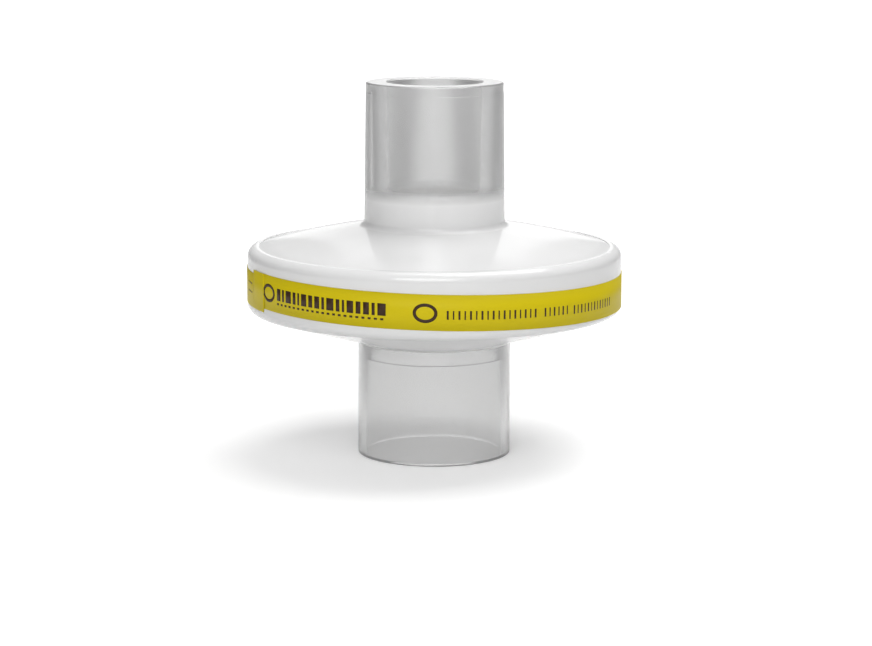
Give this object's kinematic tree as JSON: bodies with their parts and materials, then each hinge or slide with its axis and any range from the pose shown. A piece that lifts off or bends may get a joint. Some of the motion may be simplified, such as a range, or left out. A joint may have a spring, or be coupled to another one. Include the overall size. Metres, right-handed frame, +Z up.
{
  "type": "breathing circuit filter",
  "caption": "Round disposable breathing filter with a frosted disc housing, a straight conical port above and below, a felt pad inside and a yellow film label round its rim.",
  "frame": {"origin": "centre of the foot, the open end of the lower port, on the surface it stands on", "axes": "+Z up along both ports' common axis, towards the smaller port; -Y is the front, where the label's print is read"},
  "size_m": [0.0603, 0.0602, 0.0601],
  "materials": {
    "frosted_housing": "translucent natural polypropylene, softly glossy",
    "white_felt": "white needled felt",
    "yellow_film": "printed self-adhesive film, satin"
  },
  "bodies": {
    "root": {"upper_housing": "frosted_housing", "lower_housing": "frosted_housing", "filter_pad": "white_felt", "label_band": "yellow_film"}
  },
  "joints": []
}
